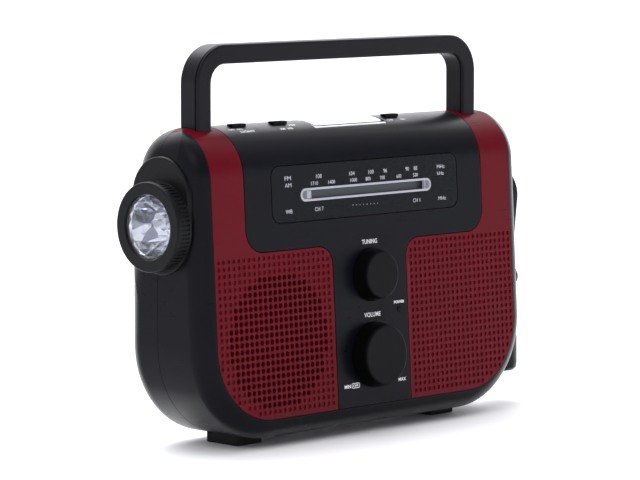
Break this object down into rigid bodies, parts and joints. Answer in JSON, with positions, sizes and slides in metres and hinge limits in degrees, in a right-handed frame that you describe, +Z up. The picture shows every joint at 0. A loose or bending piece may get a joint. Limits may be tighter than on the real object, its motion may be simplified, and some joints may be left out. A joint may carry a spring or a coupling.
{
  "type": "emergency radio",
  "caption": "Portable emergency radio with side flashlight, folding side crank, top lamp, carry handle, tuning dial and rounded case.",
  "frame": {"origin": "on the table, under the middle of the whole outline (flashlight to crank, volume knob to socket cover)", "axes": "+X to the right seen from the front, -Y towards the listener, +Z up; the front face leans back a little"},
  "size_m": [0.2796, 0.0702, 0.2073],
  "materials": {
    "case_black": "fine moulded grain, satin",
    "fascia_black": "satin with fine grain",
    "panel_red": "semi-gloss moulded red",
    "knob_black": "fine matt grain",
    "handle_black": "satin",
    "window_black": "smooth printed window",
    "trim_grey": "light grey moulded trim",
    "pointer_grey": "light grey",
    "carrier_black": "plain",
    "lamp_white": "diffusing, translucent",
    "clear_lens": "clear",
    "reflector": "metallised bowl",
    "led": "clear domed",
    "led_dark": "dark unlit indicator",
    "steel": "turned",
    "antenna_chrome": "polished",
    "brass": "turned",
    "gear_nylon": "natural nylon",
    "pcb": "solder-masked",
    "switch_metal": "pressed",
    "component_blue": "moulded",
    "magnet": "ferrite and plated steel",
    "cone_paper": "felted paper",
    "cell": "shrink sleeve",
    "pack_wrap": "shrink wrap",
    "rubber": "matt",
    "cord": "braided"
  },
  "bodies": {
    "root": {"front_shell": "case_black", "rear_shell": "case_black", "left_grille_panel": "panel_red", "right_grille_panel": "panel_red", "centre_fascia": "fascia_black", "lamp_lens": "lamp_white", "dial_window": "window_black", "dial_slot_trim": "trim_grey", "dial_backplate": "carrier_black", "dial_cord": "cord", "spindle_bush": "brass", "tuning_capacitor": "component_blue", "volume_control": "switch_metal", "power_led": "led_dark", "slide_switch_bodies": "switch_metal", "top_board": "pcb", "lamp_leds": "led", "handle_pins": "steel", "flashlight_housing": "knob_black", "flashlight_bezel": "knob_black", "flashlight_lens": "clear_lens", "flashlight_reflector": "reflector", "flashlight_led": "led", "crank_bush": "brass", "dynamo_housing": "switch_metal", "gearbox_frame": "gear_nylon", "speaker_basket": "magnet", "speaker_magnet": "magnet", "speaker_cone": "cone_paper", "main_board": "pcb", "battery_cells": "cell", "battery_contacts": "steel", "rechargeable_pack": "pack_wrap", "socket_block": "carrier_black", "rubber_feet": "rubber", "case_screws": "steel"},
    "handle": {"carry_handle": "handle_black"},
    "tuning": {"tuning_knob": "knob_black", "tuning_spindle": "steel"},
    "pointer": {"dial_pointer": "pointer_grey"},
    "volume": {"volume_knob": "knob_black", "volume_spindle": "steel"},
    "light_slider": {"light_switch": "knob_black"},
    "band_slider": {"band_switch": "knob_black"},
    "power_slider": {"power_switch": "knob_black"},
    "crank": {"crank_arm": "handle_black", "crank_screw": "steel", "crank_fold_pin": "steel", "crank_shaft": "steel", "crank_gear": "gear_nylon"},
    "crank_grip": {"crank_grip_post": "steel"},
    "grip_sleeve": {"crank_grip_sleeve": "handle_black"},
    "idler": {"idler_gear": "gear_nylon"},
    "rotor": {"dynamo_rotor": "steel"},
    "door": {"battery_door": "case_black"},
    "cover": {"socket_cover": "rubber"},
    "antenna_base": {"antenna_swivel": "antenna_chrome"},
    "antenna_lower": {"antenna_lower_tube": "antenna_chrome"},
    "antenna_middle": {"antenna_middle_tube": "antenna_chrome"},
    "antenna_end": {"antenna_tip": "antenna_chrome"}
  },
  "joints": [
    {"name": "handle_fold", "type": "hinge", "parent": "root", "child": "handle", "pos_m": [-0.0053, 0.0049, 0.153], "axis": [-1, 0, 0], "range_deg": [0, 90]},
    {"name": "tuning_turn", "type": "hinge", "parent": "root", "child": "tuning", "pos_m": [-0.0047, -0.02233, 0.084], "axis": [0, 0.9983, -0.0576], "range_deg": [0, 950]},
    {"name": "pointer_slide", "type": "slide", "parent": "root", "child": "pointer", "axis": [1, 0, 0], "range_m": [0, 0.083]},
    {"name": "volume_turn", "type": "hinge", "parent": "root", "child": "volume", "pos_m": [-0.0048, -0.02478, 0.0416], "axis": [0, 0.9983, -0.0576], "range_deg": [0, 300]},
    {"name": "light_slide", "type": "slide", "parent": "root", "child": "light_slider", "axis": [1, 0, 0], "range_m": [-0.003, 0.003]},
    {"name": "band_slide", "type": "slide", "parent": "root", "child": "band_slider", "axis": [1, 0, 0], "range_m": [-0.003, 0.003]},
    {"name": "power_slide", "type": "slide", "parent": "root", "child": "power_slider", "axis": [1, 0, 0], "range_m": [-0.003, 0.003]},
    {"name": "crank_turn", "type": "hinge", "parent": "root", "child": "crank", "pos_m": [0.1187, 0.0054, 0.117], "axis": [1, 0, 0], "continuous": true},
    {"name": "grip_fold", "type": "hinge", "parent": "crank", "child": "crank_grip", "pos_m": [0.1279, 0.0054, 0.071], "axis": [0, -1, 0], "range_deg": [0, 90]},
    {"name": "grip_spin", "type": "hinge", "parent": "crank_grip", "child": "grip_sleeve", "pos_m": [0.1291, 0.0054, 0.04], "axis": [0, 0, 1], "continuous": true},
    {"name": "idler_spin", "type": "hinge", "parent": "root", "child": "idler", "pos_m": [0.0947, 0.0054, 0.093], "axis": [1, 0, 0], "continuous": true},
    {"name": "rotor_spin", "type": "hinge", "parent": "root", "child": "rotor", "pos_m": [0.0947, 0.0054, 0.069], "axis": [1, 0, 0], "continuous": true},
    {"name": "door_open", "type": "hinge", "parent": "root", "child": "door", "pos_m": [0.0297, 0.0327, 0.0171], "axis": [-1, 0, 0], "range_deg": [0, 100]},
    {"name": "cover_open", "type": "hinge", "parent": "root", "child": "cover", "pos_m": [-0.0787, 0.0331, 0.075], "axis": [0, 0, -1], "range_deg": [0, 110]},
    {"name": "antenna_swing", "type": "hinge", "parent": "root", "child": "antenna_base", "pos_m": [-0.0893, 0.0313, 0.15], "axis": [0, -1, 0], "range_deg": [0, 90]},
    {"name": "antenna_tilt", "type": "hinge", "parent": "antenna_base", "child": "antenna_lower", "pos_m": [-0.0893, 0.0313, 0.15], "axis": [0, 0, 1], "range_deg": [0, 45]},
    {"name": "antenna_pull_1", "type": "slide", "parent": "antenna_lower", "child": "antenna_middle", "axis": [1, 0, 0], "range_m": [0, 0.11]},
    {"name": "antenna_pull_2", "type": "slide", "parent": "antenna_middle", "child": "antenna_end", "axis": [1, 0, 0], "range_m": [0, 0.11]}
  ],
  "couplings": [
    {"joint": "pointer_slide", "follows": "tuning_turn", "m_per_rad": 0.005},
    {"joint": "idler_spin", "follows": "crank_turn", "ratio": -3},
    {"joint": "rotor_spin", "follows": "crank_turn", "ratio": 9}
  ]
}
